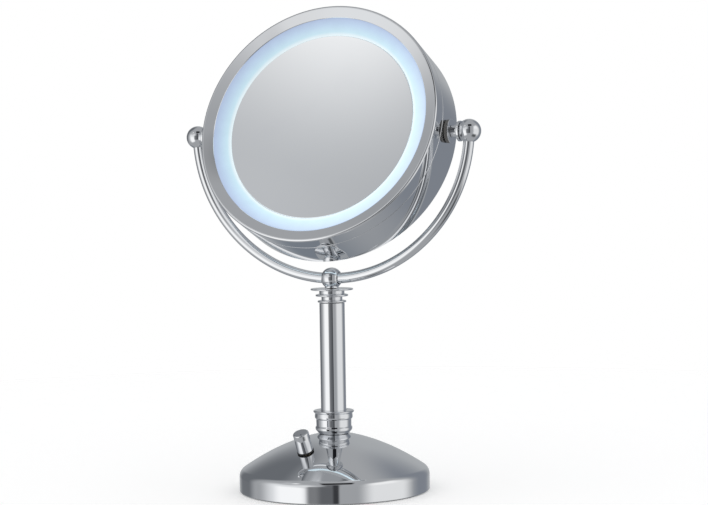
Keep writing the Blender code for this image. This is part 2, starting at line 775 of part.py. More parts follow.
def faces(head):
    """Bezel, diffuser and mirror of each face. The rear ones are turned over, with the bezel in the drum."""
    rear_edge = [(SKIRT_R, HEAD_REAR - GAP)]
    for side, turn, half, sag, outside in (
        ("front", 0, HEAD_FRONT, 0, front_band()),
        ("rear", math.pi, HEAD_REAR, MAGNIFIER_SAG, rear_edge),
    ):
        frame = frame_at(f"head_{side}", turn=(turn, 0, 0), parent=head)
        for piece, outline, material in (
            ("bezel", bezel_outline(outside, half), "chrome"),
            ("diffuser", diffuser_outline(half), "frosted_ring"),
            ("mirror", glass_outline(half, sag), "mirror"),
        ):
            name = f"{side}_{piece}"
            placed(name, turned(name, outline, LARGE), material, frame)


def mirror_core(head):
    """Spool that both mirrors are bonded to, with a web across its middle."""
    front, rear = (half - MIRROR_DEPTH - GLASS - GAP for half in (HEAD_FRONT, HEAD_REAR))
    web = 1 * MM
    inner = CORE_R - CORE_WALL
    outline = [
        (0, web),
        (inner, web),
        (inner, front),
        (CORE_R, front),
        (CORE_R, -rear),
        (inner, -rear),
        (inner, -web),
        (0, -web),
    ]
    placed("mirror_core", turned("mirror_core", outline, LARGE), "white_plastic", head)


def light_ring(head):
    """Ring board round the core. Every other sector of each face is raised as a lamp."""
    sectors, lamp, margin = 24, 1.2 * MM, 2.6 * MM
    inner, outer, half = 88.4 * MM, 96.4 * MM, 0.8 * MM
    bm = bmesh.new()
    corners = [bm.verts.new((r, 0, z)) for r, z in ring(inner, outer, -half, half)]
    edges = [bm.edges.new((corners[i - 1], corners[i])) for i in range(4)]
    spin_round(bm, corners + edges, sectors)
    bmesh.ops.recalc_face_normals(bm, faces=bm.faces)
    lamps = []
    for face in bm.faces:
        middle = face.calc_center_median()
        sector = int((math.atan2(middle.y, middle.x) % math.tau) / math.tau * sectors)
        if abs(face.normal.z) > 0.9 and sector % 2:
            lamps.append(face)
    bmesh.ops.inset_individual(bm, faces=lamps, thickness=margin)
    for face in lamps:
        up = face.normal.copy()
        raised = bmesh.ops.extrude_discrete_faces(bm, faces=[face])["faces"][0]
        bmesh.ops.translate(bm, verts=raised.verts, vec=up * lamp)
    placed("light_ring", mesh_from(bm, "light_ring"), "circuit_board", head)


def pivot_seats(head):
    """Flanged sleeve through the drum's side, the washer under its flange and the block inside."""
    washer_low = HEAD_R + GAP
    washer_high = washer_low + 2.8 * MM
    flange_low, flange_high = washer_high + GAP, HALF_SPAN - BUSH_END - GAP
    flange_r, rounding, sleeve_r = 10.4 * MM, 0.3 * MM, 4.6 * MM
    outline = [
        (PIN_HOLE_R, flange_high),
        (flange_r - rounding, flange_high),
        (flange_r, flange_high - rounding),
        (flange_r, flange_low),
        (sleeve_r, flange_low),
        (sleeve_r, BLOCK_X[0]),
        (PIN_HOLE_R, BLOCK_X[0]),
    ]
    flange = turned("pivot_flange", outline)
    washer = turned("pivot_washer", ring(sleeve_r + GAP, 10 * MM, washer_low, washer_high))
    block_half = 7.4 * MM
    low = (BLOCK_X[0], -block_half, -block_half)
    high = (BLOCK_X[1], block_half, block_half)
    for side, turn in (("right", 0), ("left", math.pi)):
        frame = frame_at(f"head_{side}", turn=(0, 0, turn), parent=head)
        placed(f"pivot_flange_{side}", flange, "chrome", frame, turn=(0, math.pi / 2, 0))
        placed(f"pivot_washer_{side}", washer, "black_plastic", frame, turn=(0, math.pi / 2, 0))
        body = block("bearing_block", low, high, bevel=0.8 * MM)
        seat = placed(f"bearing_block_{side}", body, "black_plastic", frame)
        bore = turned("block_bore", rod(sleeve_r + GAP, BLOCK_X[0] - MM, BLOCK_X[1] + MM), SMALL)
        cut(seat, f"block_bore_{side}", bore, frame, turn=(0, math.pi / 2, 0))


def head_lead(head):
    """Lead from the end of the right pin to the light ring."""
    end = BLOCK_X[0] - 2.6 * MM
    path = [(end, 0, 0), (end - 0.6 * MM, 0, 1.6 * MM), (95.4 * MM, 0, 3 * MM), (92 * MM, 0, 2.2 * MM)]
    wire("head_lead", path, head)


def build():
    clear_scene()
    stand = frame_at("stand", (0, 0, FOOT_LIFT))
    knob = knob_frame(stand)
    base_shell(stand, knob)
    for make in (base_weight, base_cover, cover_screws, foot_ring):
        make(stand)
    for make in (battery_holder, cells_and_contacts, battery_door):
        make(stand)
    switch(knob)
    knob_cap(knob)
    for make in (tie_rod, lower_collar, column_tube, upper_collar, centre_ball, yoke, wiring):
        make(stand)
    # The head's own frame: +Z out of the front mirror, +Y up the glass, X along the pivots.
    head = frame_at("tilt_axis", (0, 0, PIVOT_Z), (math.pi / 2 - TILT_BACK, 0, 0), stand)
    for make in (drum_shell, faces, mirror_core, light_ring, pivot_seats, head_lead):
        make(head)


build()
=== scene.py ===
"""Looks of the lighted two-sided vanity mirror: fine surfaces, finishes, light and camera.

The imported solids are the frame. Each visible solid is faceted, so a fine piece of the same size stands
for it. Outlines of turned pieces are (radius, height) pairs in millimetres about the piece's own +Z
axis, with an optional third value for how far that corner is rounded.
"""

import json
import math

import bmesh
import bpy
from mathutils import Matrix, Vector

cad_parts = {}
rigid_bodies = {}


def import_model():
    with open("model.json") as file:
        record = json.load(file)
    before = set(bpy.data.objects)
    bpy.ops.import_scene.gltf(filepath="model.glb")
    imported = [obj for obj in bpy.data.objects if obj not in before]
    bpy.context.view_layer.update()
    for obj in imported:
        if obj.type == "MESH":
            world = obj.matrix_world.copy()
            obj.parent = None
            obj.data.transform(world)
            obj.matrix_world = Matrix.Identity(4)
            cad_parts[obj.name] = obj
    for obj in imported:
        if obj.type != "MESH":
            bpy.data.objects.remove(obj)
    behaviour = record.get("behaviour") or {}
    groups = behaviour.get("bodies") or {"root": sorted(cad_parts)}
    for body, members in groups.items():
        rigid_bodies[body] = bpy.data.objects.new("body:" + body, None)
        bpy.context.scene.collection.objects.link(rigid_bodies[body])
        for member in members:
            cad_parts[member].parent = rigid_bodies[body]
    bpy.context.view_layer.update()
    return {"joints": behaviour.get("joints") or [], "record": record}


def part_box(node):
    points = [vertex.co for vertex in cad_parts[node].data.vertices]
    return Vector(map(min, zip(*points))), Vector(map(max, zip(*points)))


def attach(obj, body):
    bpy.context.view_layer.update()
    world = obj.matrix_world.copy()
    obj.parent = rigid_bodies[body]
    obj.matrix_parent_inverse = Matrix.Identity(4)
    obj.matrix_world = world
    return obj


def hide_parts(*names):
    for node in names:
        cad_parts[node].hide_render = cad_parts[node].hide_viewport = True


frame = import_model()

BODY_OF = {node: body for body, nodes in frame["record"]["behaviour"]["bodies"].items() for node in nodes}
SLOT_OF = {part["node"]: part["material_slot"] for part in frame["record"]["subparts"]}
JOINTS = {joint["name"]: joint for joint in frame["joints"]}

MM = 0.001
LARGE, MEDIUM, SMALL = 256, 128, 64  # sides of the base and head, of the column and balls, of small pieces

# Base, in millimetres
BASE_R = 83.5
DOME_TOP = 50.9
DOME_CONE = 0.11
DOME_CURVE = 0.00354
SHOULDER_R = 8
SHELL_WALL = 1.4
SHELL_DROP = 1.15 * SHELL_WALL  # from the dome's outer face straight down to its inner one
COVER_Z = 2.2
COVER_THICK = 2
BAY_HALF = (31.8, 29.8)
DOOR_HALF = (30.2, 28.2)
DOOR_AXIS_Y = 27.2
CELL_R, CELL_LENGTH, CELL_PITCH, CELL_Z = 7.1, 50.5, 14.9, 12.3
CONTACT_Y = 27.4
SCREW_CIRCLE_R = 62.5
GAP = 0.3  # clearance between neighbours

# Column and yoke, in millimetres
ROD_HOLE_R = 4.3
TUBE_R = 11.1
LOWER_COLLAR_TOP = 69.4
UPPER_COLLAR_TOP = 176.4
PIVOT_Z = 311.1
HALF_SPAN = 129.9
YOKE_DROP = 125.9
YOKE_R = (HALF_SPAN**2 + YOKE_DROP**2) / (2 * YOKE_DROP)
YOKE_Z = PIVOT_Z - YOKE_DROP + YOKE_R
ARM_R = 4.7
SOCKET_R = 5.1
CENTRE_BALL_R = 9.5
PIVOT_BALL_R = 10.2
BALL_FLAT = 6.9
PIN_HOLE_R = 3.3
BUSH_END = 15.3
BALL_ANGLE = math.acos((YOKE_Z - PIVOT_Z) / YOKE_R)  # of the pivots, up the yoke's arc from its lowest point
ARM_END = BALL_ANGLE - 4.5 / YOKE_R  # of each arm, inside its ball's socket

# Head, in millimetres
TILT_BACK = math.radians(21.8)
HEAD_R = 110.07
HEAD_FRONT = 29.4
HEAD_REAR = 22.6
BAND_WALL = 1.2
SKIRT_R = HEAD_R - BAND_WALL - GAP
LEDGE_TOP = 9.2
SKIRT_FOOT = LEDGE_TOP + GAP
SEAM = 13.4
GLOW_R = 99.7
GLOW_DEPTH = 2.5
MIRROR_R = 85.8
MIRROR_DEPTH = 9.7
GLASS = 3
MAGNIFIER_SAG = 7.3
CORE_R = 86.6
CORE_WALL = 3.6
SLEEVE_R = 4.6
BLOCK_X = (100.5, 107.8)

# Knob, in millimetres
KNOB_R = 6.9
KNOB_HEIGHT = 19

STAND = Matrix.Translation((0, 0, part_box("base_shell")[0].z))
HEAD = Matrix.Translation(JOINTS["head_tilt"]["pos_m"]) @ Matrix.Rotation(math.pi / 2 - TILT_BACK, 4, "X")
HALF_TURN_Z = Matrix.Rotation(math.pi, 4, "Z")
HALF_TURN_X = Matrix.Rotation(math.pi, 4, "X")
SIDES = (("right", Matrix()), ("left", HALF_TURN_Z))
FACING_IN = Matrix.Rotation(-math.pi / 2, 4, "Y")  # turns +Z to point from the right pivot to the head


# Shape helpers -----------------------------------------------------------------------------------


def bow(centre, radius, start, end, steps):
    """Points along an arc in an outline's plane, by angles from the outward direction."""
    angles = [start + (end - start) * step / steps for step in range(steps + 1)]
    return [(centre[0] + radius * math.cos(a), centre[1] + radius * math.sin(a)) for a in angles]


def eased_corner(before, here, after, fillet):
    """The points that round one corner of an outline, or the corner itself where it hardly turns."""
    back, on = before - here, after - here
    half = back.angle(on) / 2
    if math.pi / 2 - half < math.radians(8) or fillet == 0:
        return [here]
    reach = min(fillet / math.tan(half), 0.48 * back.length, 0.48 * on.length)
    back.normalize()
    on.normalize()
    centre = here + (back + on).normalized() * reach / math.cos(half)
    start, end = here + back * reach - centre, here + on * reach - centre
    turn = start.angle_signed(end)
    steps = max(3, math.ceil(abs(turn) / math.radians(9)))
    return [centre + Matrix.Rotation(-turn * step / steps, 2) @ start for step in range(steps + 1)]


def eased(corners, fillet):
    """An outline with its corners rounded. It is closed unless it starts on the axis."""
    points = [Vector(corner[:2]) for corner in corners]
    closed = points[0].x > 0
    made = []
    for index, corner in enumerate(corners):
        if not closed and index in (0, len(corners) - 1):
            made.append(points[index])
            continue
        before, after = points[index - 1], points[(index + 1) % len(points)]
        radius = corner[2] if len(corner) > 2 else fillet
        made += eased_corner(before, points[index], after, radius)
    return made, closed


def closed_mesh(bm, name):
    """Mesh data from a bmesh, in metres, with its faces pointing out."""
    bmesh.ops.remove_doubles(bm, verts=bm.verts, dist=0.0005)
    bmesh.ops.recalc_face_normals(bm, faces=bm.faces)
    bmesh.ops.scale(bm, vec=(MM, MM, MM), verts=bm.verts)
    mesh = bpy.data.meshes.new(name)
    bm.to_mesh(mesh)
    bm.free()
    return mesh


def skin(bm, rings, closed):
    """Joins rings of vertices with faces. A ring of one vertex closes the surface to a point."""
    pairs = list(zip(rings, rings[1:]))
    if closed:
        pairs.append((rings[-1], rings[0]))
    sides = max(len(ring) for ring in rings)
    for low, high in pairs:
        for side in range(sides):
            after = side + 1
            loop = [low[side % len(low)], low[after % len(low)]]
            loop += [high[after % len(high)], high[side % len(high)]]
            corners = list(dict.fromkeys(loop))
            if len(corners) > 2:
                bm.faces.new(corners)


def lathe(corners, sides=MEDIUM, fillet=0.25):
    """Mesh data of an outline spun about +Z, with its corners rounded."""
    outline, closed = eased(corners, fillet)
    bm = bmesh.new()
    rings = []
    for radius, height in outline:
        count = sides if radius > 0.001 else 1
        angles = [math.tau * side / sides for side in range(count)]
        rings.append([bm.verts.new((radius * math.cos(a), radius * math.sin(a), height)) for a in angles])
    skin(bm, rings, closed)
    return closed_mesh(bm, "turned")


def ring(inner, outer, low, high):
    """Outline of a plain ring or tube."""
    return [(outer, high), (outer, low), (inner, low), (inner, high)]


def rod(radius, low, high):
    """Outline of a plain solid cylinder."""
    return [(0, high), (radius, high), (radius, low), (0, low)]


def slab(low, high, rounding=0.4):
    """Mesh data of a box between two corners, with rounded edges."""
    bm = bmesh.new()
    bmesh.ops.create_cube(bm, size=1)
    for vert in bm.verts:
        vert.co = [a if side < 0 else b for a, b, side in zip(low, high, vert.co)]
    if rounding:
        bmesh.ops.bevel(bm, geom=bm.edges[:], offset=rounding, segments=3, profile=0.5, affect="EDGES")
    return closed_mesh(bm, "slab")


def prism(radius, low, high):
    """Mesh data of a hexagonal nut blank with chamfered corners."""
    flats = lathe(rod(radius, low, high), sides=6, fillet=0)
    chamfer = 0.12 * radius
    cone = [(0, high), (radius - chamfer, high, 0), (radius + chamfer, high - 1.2 * chamfer, 0)]
    cone += [(radius + chamfer, low + 1.2 * chamfer, 0), (radius - chamfer, low, 0), (0, low)]
    return carved(flats, [lathe(cone, SMALL, 0)], "INTERSECT")


def moved(mesh, matrix):
    """The mesh itself, carried by a matrix whose translation is in metres."""
    mesh.transform(matrix)
    return mesh


def at(x, y, z):
    """A translation given in millimetres."""
    return Matrix.Translation(Vector((x, y, z)) * MM)


def carved(mesh, others, operation="DIFFERENCE"):
    """Mesh data after exact Booleans with other meshes, which are used up."""
    target = bpy.data.objects.new("carved", mesh)
    scene_objects = bpy.context.scene.collection.objects
    scene_objects.link(target)
    tools = [bpy.data.objects.new("tool", other) for other in others]
    for tool in tools:
        scene_objects.link(tool)
        boolean = target.modifiers.new("cut", "BOOLEAN")
        boolean.operation = operation
        boolean.solver = "EXACT"
        boolean.object = tool
    graph = bpy.context.evaluated_depsgraph_get()
    result = bpy.data.meshes.new_from_object(target.evaluated_get(graph), depsgraph=graph)
    for extra in (target, *tools):
        bpy.data.objects.remove(extra)
    return result


def cable(points, radius, smooth=True):
    """Mesh data of a round wire that follows points given in millimetres."""
    curve = bpy.data.curves.new("cable", "CURVE")
    curve.dimensions = "3D"
    curve.bevel_depth = radius * MM
    curve.bevel_resolution = 4
    curve.resolution_u = 8
    curve.use_fill_caps = True
    spline = curve.splines.new("NURBS" if smooth else "POLY")
    spline.points.add(len(points) - 1)
    for point, place in zip(spline.points, points):
        point.co = (*(Vector(place) * MM), 1)
    spline.use_endpoint_u = True
    spline.order_u = 3
    holder = bpy.data.objects.new("cable", curve)
    bpy.context.scene.collection.objects.link(holder)
    graph = bpy.context.evaluated_depsgraph_get()
    mesh = bpy.data.meshes.new_from_object(holder.evaluated_get(graph), depsgraph=graph)
    bpy.data.objects.remove(holder)
    return mesh


def show(node, mesh, place=STAND, crease=35):
    """Puts a fine mesh in a CAD node's place, on the same body and in the same finish."""
    mesh.transform(place)
    mesh.shade_smooth()
    mesh.set_sharp_from_angle(angle=math.radians(crease))
    mesh.materials.clear()
    mesh.materials.append(FINISHES[SLOT_OF[node]])
    piece = bpy.data.objects.new(f"{node}_fine", mesh)
    bpy.context.scene.collection.objects.link(piece)
    shading = piece.modifiers.new("shading", "WEIGHTED_NORMAL")
    shading.keep_sharp = True
    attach(piece, BODY_OF[node])
    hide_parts(node)
    return piece


# Finishes ----------------------------------------------------------------------------------------


class Nodes:
    """Short ways to add linked nodes to the tree of a material or a world."""

    def __init__(self, tree):
        self.tree = tree

    def add(self, kind, inputs=(), **settings):
        """A shader node with its settings and inputs, each a value or a socket to link from."""
        node = self.tree.nodes.new(f"ShaderNode{kind}")
        for name, value in settings.items():
            setattr(node, name, value)
        for name, value in dict(inputs).items():
            self.feed(node.inputs[name], value)
        return node

    def feed(self, socket, value):
        if isinstance(value, bpy.types.NodeSocket):
            self.tree.links.new(value, socket)
        else:
            socket.default_value = value

    def math(self, operation, *values):
        return self.add("Math", dict(enumerate(values)), operation=operation).outputs[0]

    def vector(self, operation, *values):
        return self.add("VectorMath", dict(enumerate(values)), operation=operation)

    def between(self, value, low, high, first=0.0, last=1.0):
        """Goes smoothly from first to last as value goes from low to high."""
        inputs = {"Value": value, "From Min": low, "From Max": high, "To Min": first, "To Max": last}
        return self.add("MapRange", inputs, interpolation_type="SMOOTHSTEP").outputs["Result"]

    def noise(self, scale, detail=2.0, stretch=None):
        """Noise in the object's own place at rest, with scale in repeats per metre."""
        place = self.add("TexCoord").outputs["Object"]
        if stretch:
            place = self.vector("MULTIPLY", place, stretch).outputs[0]
        inputs = {"Vector": place, "Scale": scale, "Detail": detail}
        return self.add("TexNoise", inputs).outputs["Fac"]

    def mix(self, factor, first, second):
        """A colour between first and second."""
        node = self.add("Mix", data_type="RGBA")
        for index, value in ((0, factor), (6, first), (7, second)):
            self.feed(node.inputs[index], value)
        return node.outputs[2]

    def bump(self, height, strength, distance):
        inputs = {"Height": height, "Strength": strength, "Distance": distance}
        return self.add("Bump", inputs).outputs["Normal"]


def finish(name, **values):
    """A Principled material, with its node helper and its shader."""
    made = bpy.data.materials.new(f"{name}_finish")
    made.use_nodes = True
    shader = made.node_tree.nodes["Principled BSDF"]
    for socket, value in values.items():
        shader.inputs[socket.replace("_", " ")].default_value = value
    return made, Nodes(made.node_tree), shader


def tint(*colour):
    """A colour in full strength, as a socket takes it."""
    return (*colour, 1)


def chrome():
    """Bright nickel-chrome plate: faint hand smudges, hairline wear and a slight ripple of the metal."""
    made, nodes, shader = finish("chrome", Metallic=1)
    smudge = nodes.between(nodes.noise(38, 3), 0.5, 0.72)
    hairlines = nodes.between(nodes.noise(260, 3, (1, 1, 0.12)), 0.66, 0.74)
    rough = nodes.math("MULTIPLY_ADD", smudge, 0.02, 0.012)
    rough = nodes.math("MULTIPLY_ADD", hairlines, 0.018, rough)
    nodes.feed(shader.inputs["Roughness"], rough)
    colour = nodes.mix(nodes.noise(14, 2), tint(0.80, 0.815, 0.84), tint(0.86, 0.865, 0.87))
    nodes.feed(shader.inputs["Base Color"], colour)
    nodes.feed(shader.inputs["Normal"], nodes.bump(nodes.noise(55, 1), 0.03, 0.0004))
    return made


def mirror():
    """Silvered glass: nearly perfect, with a trace of dust film and a cool tint."""
    made, nodes, shader = finish("mirror", Metallic=1)
    film = nodes.between(nodes.noise(24, 4), 0.52, 0.75)
    nodes.feed(shader.inputs["Roughness"], nodes.math("MULTIPLY_ADD", film, 0.012, 0.003))
    colour = nodes.mix(film, tint(0.925, 0.94, 0.955), tint(0.915, 0.93, 0.947))
    nodes.feed(shader.inputs["Base Color"], colour)
    return made


def frosted_ring():
    """Frosted plastic lit from behind: cool blue at its outer edge, near white beside the mirror."""
    made, nodes, shader = finish("frosted_ring", Roughness=0.42)
    place = nodes.add("TexCoord").outputs["Object"]
    turn = {"Vector": place, "Location": HEAD.translation, "Rotation": HEAD.to_euler()}
    local = nodes.add("Mapping", turn, vector_type="TEXTURE").outputs[0]
    flat = nodes.vector("MULTIPLY", local, (1, 1, 0)).outputs[0]
    from_axis = nodes.vector("LENGTH", flat).outputs["Value"]
    inward = nodes.add(
        "MapRange", {"Value": from_axis, "From Min": GLOW_R * MM, "From Max": MIRROR_R * MM}
    ).outputs["Result"]
    ramp = nodes.add("ValToRGB", {"Fac": inward})
    bands = ((0.0, (0.44, 0.54, 0.76)), (0.4, (0.52, 0.68, 0.87)), (0.8, (0.6, 0.82, 0.93)))
    elements = ramp.color_ramp.elements
    elements[1].color = tint(0.86, 0.96, 1.0)
    elements.remove(elements[0])
    for spot, colour in bands:
        elements.new(spot).color = tint(*colour)
    aslant = nodes.add("LayerWeight", {"Blend": 0.5}).outputs["Facing"]
    whiter = nodes.between(aslant, 0.15, 0.6, 0.0, 0.75)
    glow = nodes.mix(whiter, ramp.outputs["Color"], tint(0.80, 0.95, 1.0))
    mottle = nodes.between(nodes.noise(120, 2), 0.3, 0.7, 0.97, 1.0)
    toward_right_foot = nodes.vector("DOT_PRODUCT", local, (0.7, -0.7, 0)).outputs["Value"]
    uneven = nodes.between(toward_right_foot, -GLOW_R * MM, GLOW_R * MM, 0.87, 1.1)
    nodes.feed(shader.inputs["Emission Color"], glow)
    nodes.feed(shader.inputs["Emission Strength"], nodes.math("MULTIPLY", mottle, uneven))
    nodes.feed(shader.inputs["Base Color"], tint(0.05, 0.055, 0.06))
    grain = nodes.noise(2600, 2)
    nodes.feed(shader.inputs["Roughness"], nodes.between(grain, 0.3, 0.7, 0.4, 0.5))
    nodes.feed(shader.inputs["Normal"], nodes.bump(grain, 0.15, 0.00004))
    return made


def moulded(name, dark, light, rough, grain=1800, depth=0.00005):
    """Moulded plastic or rubber with a fine spark-eroded grain."""
    made, nodes, shader = finish(name)
    cloud = nodes.noise(45, 3)
    fine = nodes.noise(grain, 3)
    nodes.feed(shader.inputs["Base Color"], nodes.mix(cloud, tint(*dark), tint(*light)))
    nodes.feed(shader.inputs["Roughness"], nodes.between(fine, 0.3, 0.7, rough, min(1, rough + 0.12)))
    nodes.feed(shader.inputs["Normal"], nodes.bump(fine, 0.35, depth))
    return made


def metal(name, dark, light, rough, stretch=(1, 1, 1)):
    """Machined or plated metal with tool marks along one way."""
    made, nodes, shader = finish(name, Metallic=1)
    marks = nodes.noise(700, 3, stretch)
    nodes.feed(shader.inputs["Base Color"], nodes.mix(nodes.noise(60, 3), tint(*dark), tint(*light)))
    nodes.feed(shader.inputs["Roughness"], nodes.between(marks, 0.3, 0.7, rough, rough + 0.15))
    nodes.feed(shader.inputs["Normal"], nodes.bump(marks, 0.2, 0.00003))
    return made


def cast_iron():
    """Cast weight under a coat of dark paint: coarse sand texture, with dull high spots."""
    made, nodes, shader = finish("cast_iron")
    sand = nodes.noise(420, 5)
    bare = nodes.between(sand, 0.62, 0.7)
    nodes.feed(shader.inputs["Base Color"], nodes.mix(bare, tint(0.03, 0.032, 0.036), tint(0.16, 0.15, 0.15)))
    nodes.feed(shader.inputs["Metallic"], nodes.math("MULTIPLY", bare, 0.8))
    nodes.feed(shader.inputs["Roughness"], nodes.between(sand, 0.3, 0.7, 0.75, 0.55))
    nodes.feed(shader.inputs["Normal"], nodes.bump(sand, 0.7, 0.0004))
    return made


FINISHES = {
    "chrome": chrome(),
    "mirror": mirror(),
    "frosted_ring": frosted_ring(),
    "white_plastic": moulded("white_plastic", (0.82, 0.82, 0.8), (0.9, 0.9, 0.88), 0.4),
    "black_plastic": moulded("black_plastic", (0.088, 0.086, 0.084), (0.13, 0.126, 0.122), 0.3),
    "rubber": moulded("rubber", (0.012, 0.012, 0.012), (0.026, 0.026, 0.027), 0.7, grain=900, depth=0.0001),
    "cast_iron": cast_iron(),
    "steel": metal("steel", (0.56, 0.57, 0.6), (0.68, 0.69, 0.7), 0.22, (1, 1, 0.1)),
    "brass": metal("brass", (0.7, 0.5, 0.22), (0.84, 0.66, 0.34), 0.22, (0.1, 0.1, 1)),
    "cell_sleeve": moulded("cell_sleeve", (0.02, 0.08, 0.06), (0.04, 0.13, 0.1), 0.2, depth=0.00001),
    "circuit_board": moulded("circuit_board", (0.84, 0.85, 0.84), (0.92, 0.93, 0.92), 0.3),
    "wire_sleeve": moulded("wire_sleeve", (0.38, 0.03, 0.025), (0.5, 0.05, 0.04), 0.35),
}


# Base --------------------------------------------------------------------------------------------


def dome(radius):
    """Height of the dome's outer face at a distance from the column's axis."""
    return DOME_TOP - DOME_CONE * radius - DOME_CURVE * radius**2


def dome_slope(radius):
    """Angle at which the dome falls away there."""
    return math.atan(DOME_CONE + 2 * DOME_CURVE * radius)


def shell_outline():
    """The dome, its rounded shoulder and its straight rim, with the wall inside."""
    centre_r = BASE_R - SHOULDER_R
    slope = dome_slope(centre_r + SHOULDER_R * 0.5)
    start_r = centre_r + SHOULDER_R * math.sin(slope)
    centre_z = dome(start_r) - SHOULDER_R * math.cos(slope)
    steps = 56
    radii = [ROD_HOLE_R + (start_r - ROD_HOLE_R) * step / steps for step in range(steps)]
    outer = [(r, dome(r)) for r in radii]
    shoulder = bow((centre_r, centre_z), SHOULDER_R, math.pi / 2 - slope, 0, 16)
    inner_r = BASE_R - SHELL_WALL
    inside = [(r, dome(r) - SHELL_DROP) for r in reversed(radii) if r < centre_r]
    rim = [(BASE_R, 0, 0.6), (inner_r, 0), (inner_r, centre_z, 0)]
    under = bow((centre_r, centre_z), SHOULDER_R - SHELL_WALL, 0, math.pi / 2 - slope, 8)[1:]
    return outer + shoulder + rim + under + inside


def knob_place():
    """Frame on the dome's face, square to it, with +Z along the knob's axis."""
    joint = JOINTS["knob_turn"]
    axis = -Vector(joint["axis"])
    across = Vector((0, 0, 1)).cross(axis).normalized()
    turn = Matrix((across, axis.cross(across), axis)).transposed()
    return Matrix.Translation(joint["pos_m"]) @ turn.to_4x4()


KNOB = knob_place()


def base():
    """Dome with the hole for the switch's bush, ring foot, and weight with room for the cover's screws."""
    bush_hole_r = 4.4
    hole = moved(lathe(rod(bush_hole_r, -6, 6), SMALL, 0), STAND.inverted() @ KNOB)
    show("base_shell", carved(lathe(shell_outline(), LARGE), [hole]))
    inner, outer, low, high = 68, 79, -0.8, COVER_Z - GAP
    show("foot_ring", lathe([(inner, low, 0.3), (outer, low, 0.3), (outer, high), (inner, high)], LARGE))
    bottom = COVER_Z + COVER_THICK + GAP
    weight = [(57, 27), (60, 27), (74, 18), (80, 11), (80, bottom), (57, bottom)]
    holes = [moved(lathe(rod(1.9, 0, 16), SMALL, 0), spot) for spot in screw_spots()]
    show("base_weight", carved(lathe(weight, LARGE, 1.2), holes))


def screw_spots():
    """Where the four cover screws stand."""
    for quarter in range(4):
        around = math.radians(45 + 90 * quarter)
        yield at(SCREW_CIRCLE_R * math.cos(around), SCREW_CIRCLE_R * math.sin(around), 0)


def cover():
    """Bottom cover, with openings for the door and the screws."""
    disc = lathe(rod(BASE_R - SHELL_WALL - 0.4, COVER_Z, COVER_Z + COVER_THICK), LARGE)
    half_x, half_y = DOOR_HALF[0] + 0.4, DOOR_HALF[1] + 0.8
    hole_r, past = 2.1, 3 * COVER_THICK
    tools = [slab((-half_x, -half_y, 0), (half_x, half_y, past), 0)]
    tools += [moved(lathe(rod(hole_r, 0, past), SMALL, 0), spot) for spot in screw_spots()]
    show("base_cover", carved(disc, tools))


def cover_screws():
    """Four screws, points up, with flat round-edged heads and a cross recess in each."""
    head_low, head_high = 0.3, COVER_Z - GAP
    outline = [(0, 14), (0.4, 14, 0), (1.6, 12.6), (1.6, head_high)]
    outline += [(3.3, head_high), (3, head_low, 0.6), (0, head_low)]
    reach, half_slot, depth = 1.8, 0.35, 1.1
    for number, spot in enumerate(screw_spots(), 1):
        cross = [slab((-x, -y, 0), (x, y, depth), 0) for x, y in ((reach, half_slot), (half_slot, reach))]
        show(f"cover_screw_{number}", carved(lathe(outline, SMALL), cross), STAND @ spot)


def door():
    """Battery door about its hinge axis, with a finger notch and four grip grooves at its free edge."""
    half_x, half_y = DOOR_HALF
    half_z = COVER_THICK / 2
    front = -half_y - DOOR_AXIS_Y
    panel = slab((-half_x, front, -half_z), (half_x, half_y - DOOR_AXIS_Y, half_z), 0.4)
    notch = slab((-8, front - 1, -2), (8, front + 3, 0), 0)
    width, pitch = 1.2, 2.4
    starts = [front + 6 + pitch * groove for groove in range(4)]
    grooves = [slab((-9, start, -1.6), (9, start + width, -0.6), 0) for start in starts]
    show("battery_door", carved(panel, [notch, *grooves]), STAND @ at(0, DOOR_AXIS_Y, COVER_Z + half_z))


def cell_outline():
    """An AA cell from its cap down to its flat end, with the rolled edges of its sleeve."""
    body = CELL_LENGTH - 1
    return [
        (0, CELL_LENGTH),
        (2.7, CELL_LENGTH, 0.4),
        (2.7, body + 0.1, 0.1),
        (5.6, body - 0.1, 0.1),
        (5.9, body, 0.2),
        (CELL_R - 0.1, body, 0.5),
        (CELL_R, 0, 0.5),
        (5.8, 0, 0.2),
        (5.6, 0.2, 0.1),
        (0, 0.2),
    ]


def battery_bay():
    """Holder, four cells laid head to tail, a spring at each flat end and a contact strip at each side."""
    bottom, top, wall = COVER_Z + COVER_THICK + GAP, 21.8, 1.6
    half_x, half_y = BAY_HALF
    holder = slab((-half_x, -half_y, bottom), (half_x, half_y, top), 0.6)
    room = slab((wall - half_x, wall - half_y, 0), (half_x - wall, half_y - wall, top - wall), 0)
    show("battery_holder", carved(holder, [room]))
    spring_room = 2 * CONTACT_Y - CELL_LENGTH - 2 * GAP
    for number in range(4):
        x, way = (number - 1.5) * CELL_PITCH, 1 if number % 2 else -1
        turn = Matrix.Rotation(-way * math.pi / 2, 4, "X")
        foot = -way * (CONTACT_Y - GAP)
        flat_end = foot + way * spring_room
        cell = lathe(cell_outline(), SMALL)
        sleeve_low, sleeve_high = 0.4 * MM, (CELL_LENGTH - 1.5) * MM
        ends = [not sleeve_low <= face.center.z <= sleeve_high for face in cell.polygons]
        show(f"battery_cell_{number + 1}", cell, STAND @ at(x, flat_end, CELL_Z) @ turn)
        cell.materials.append(FINISHES["steel"])
        cell.polygons.foreach_set("material_index", [int(end) for end in ends])
        spring = cable(coil(spring_room), 0.3, smooth=False)
        show(f"contact_spring_{number + 1}", spring, STAND @ at(x, foot, CELL_Z) @ turn)
    thick = 0.5
    for side, near in (("rear", CONTACT_Y), ("front", -CONTACT_Y - thick)):
        show(f"contact_strip_{side}", slab((-27, 0, 7), (27, thick, 18), 0.15), STAND @ at(0, near, 0))


